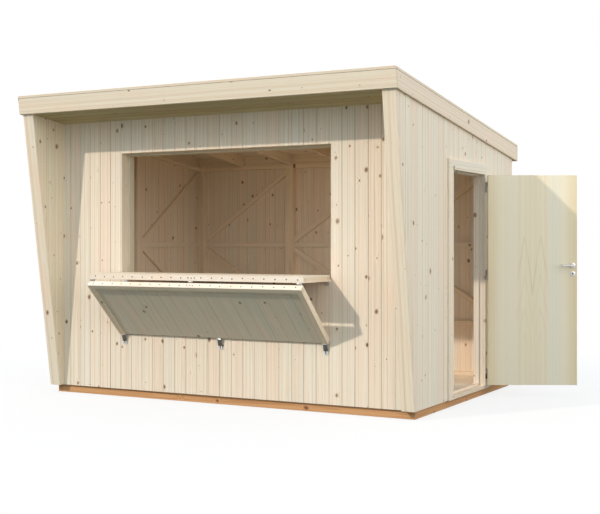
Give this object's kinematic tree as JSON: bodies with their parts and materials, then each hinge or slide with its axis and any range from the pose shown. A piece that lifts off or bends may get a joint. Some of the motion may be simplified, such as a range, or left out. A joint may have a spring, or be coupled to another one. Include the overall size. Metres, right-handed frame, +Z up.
{
  "type": "wooden market stall",
  "caption": "Walk-in timber market kiosk with a folded-out serving counter, slanted side wings, mono-pitch roof and a hinged side door.",
  "frame": {"origin": "middle of the base's underside, on the underside of the middle floor joist", "axes": "+X to the right along the front, -Y to the front (the serving side), +Z up"},
  "size_m": [4.38, 3.0019, 2.6747],
  "materials": {
    "spruce_boards": "planed bare softwood boards",
    "framing_timber": "planed bare softwood framing",
    "treated_timber": "pressure-treated timber",
    "door_veneer": "smooth bare veneered board",
    "roofing_felt": "mineral roofing felt",
    "zinc_steel": "zinc-plated",
    "handle_steel": "satin",
    "black_steel": "satin black"
  },
  "bodies": {
    "stall": {"base_cross_beams": "treated_timber", "base_side_beams": "treated_timber", "floor_joists": "treated_timber", "floor": "framing_timber", "front_wall_left": "spruce_boards", "front_wall_right": "spruce_boards", "front_wall_below": "spruce_boards", "front_wall_above": "spruce_boards", "front_wall_frame": "framing_timber", "left_wall": "spruce_boards", "left_wall_frame": "framing_timber", "right_wall_front": "spruce_boards", "right_wall_rear": "spruce_boards", "right_wall_over_door": "spruce_boards", "right_wall_frame": "framing_timber", "back_wall": "spruce_boards", "back_wall_frame": "framing_timber", "wing_linings": "spruce_boards", "wing_front_boards": "spruce_boards", "rafters": "framing_timber", "rafter_blocks": "framing_timber", "soffit": "spruce_boards", "roof_boards": "framing_timber", "roof_felt": "roofing_felt", "front_fascia": "spruce_boards", "side_fascias": "spruce_boards", "back_fascia": "spruce_boards", "roof_edge_trims": "spruce_boards", "window_stops": "framing_timber", "counter_top": "spruce_boards", "counter_battens": "framing_timber", "counter_boards": "spruce_boards", "flap_boards": "spruce_boards", "flap_battens": "framing_timber", "flap_lining": "spruce_boards", "fold_hinges": "zinc_steel", "wall_hinges": "zinc_steel", "hasps": "zinc_steel", "door_frame": "spruce_boards", "door_threshold": "spruce_boards", "door_casing": "spruce_boards", "door_hinge_pins": "black_steel"},
    "door": {"door_leaf": "door_veneer", "door_handles": "handle_steel", "door_hinge_plates": "zinc_steel"}
  },
  "joints": [
    {"name": "door_hinge", "type": "hinge", "parent": "stall", "child": "door", "pos_m": [1.827, 0.363, 1.04], "axis": [0, 0, 1], "range_deg": [-118, 50]}
  ]
}
